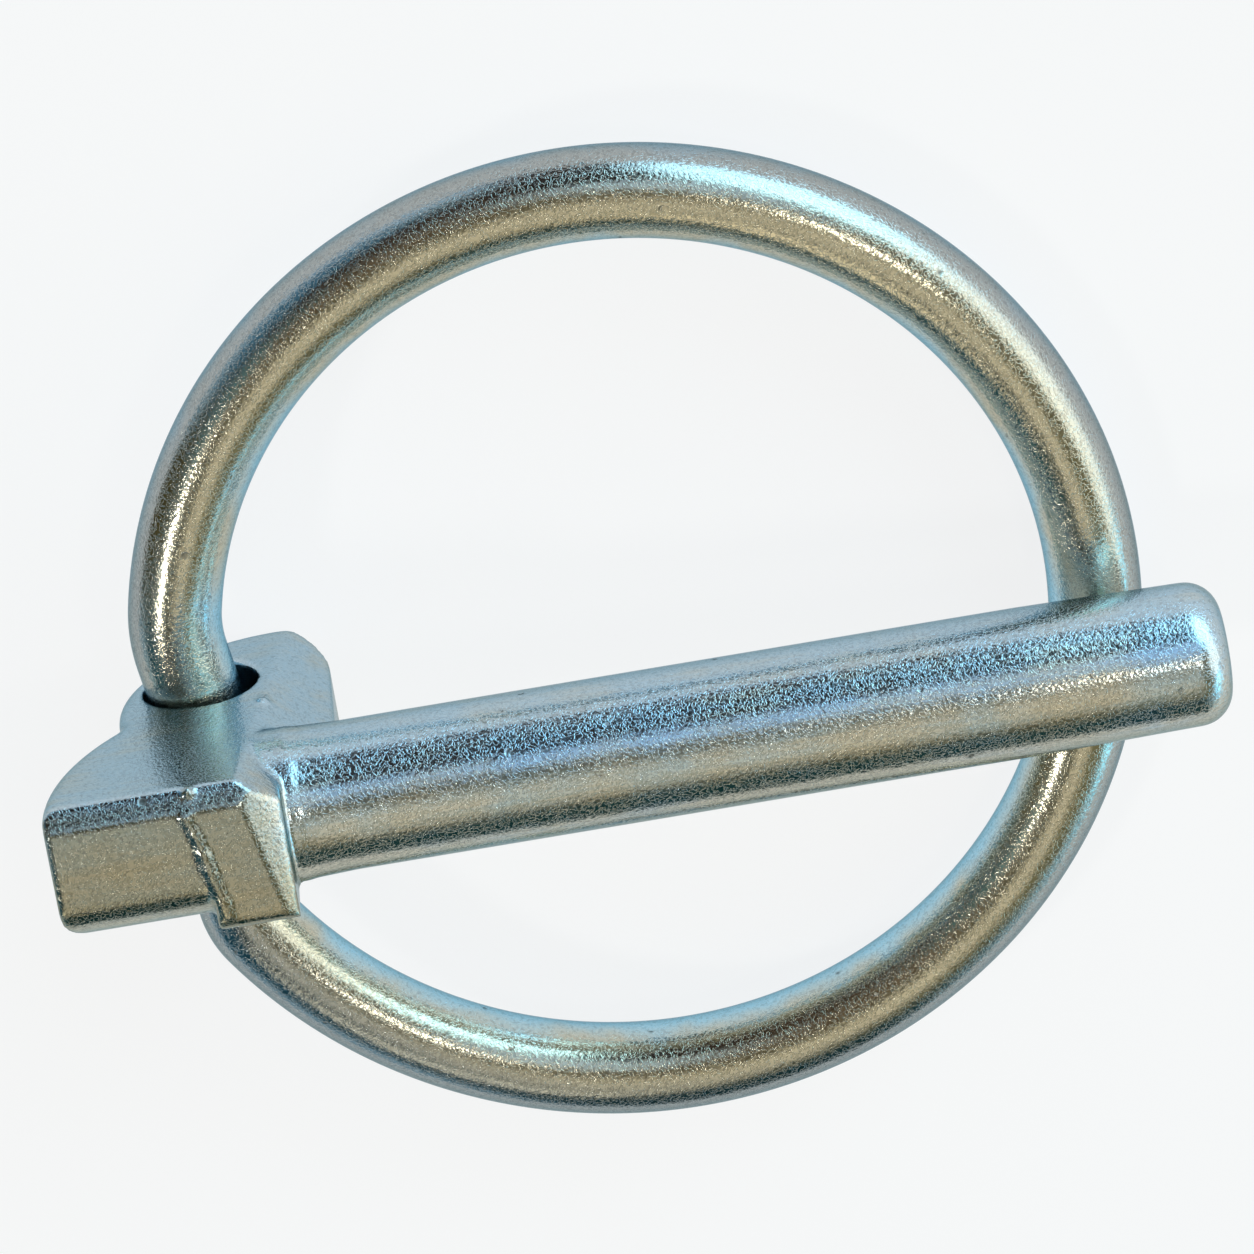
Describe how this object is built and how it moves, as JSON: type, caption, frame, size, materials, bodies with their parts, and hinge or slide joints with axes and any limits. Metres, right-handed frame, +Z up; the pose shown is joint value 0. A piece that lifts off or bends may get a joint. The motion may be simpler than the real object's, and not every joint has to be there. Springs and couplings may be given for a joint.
{
  "type": "lynch pin",
  "caption": "Lynch pin with a plain round shank, a forged thumb head and a sprung wire ring that swings over and snaps down behind the shank.",
  "frame": {"origin": "on the shank's axis, at the end of its root, level with the front of the toe that stops the pin in its hole", "axes": "+X from the head towards the shank's tip, level, with the shank 8 degrees below it; +Y along the head's thickness, towards the chamfered side; +Z up as the pin lies on its eye and ring, which is the way the flat thumb face looks"},
  "size_m": [0.0466, 0.0419, 0.0175],
  "materials": {
    "pin_plating": "satin zinc plating over a forged surface, blue and olive-gold tints",
    "ring_plating": "satin zinc plating over drawn wire, olive-gold and blue tints"
  },
  "bodies": {
    "pin": {"pin": "pin_plating"},
    "ring": {"ring": "ring_plating"}
  },
  "joints": [
    {"name": "ring_swing", "type": "hinge", "parent": "pin", "child": "ring", "pos_m": [-0.00604, 0, -0.0059], "axis": [-0.1385, 0.9903, 0.0132], "range_deg": [0, 335]}
  ]
}
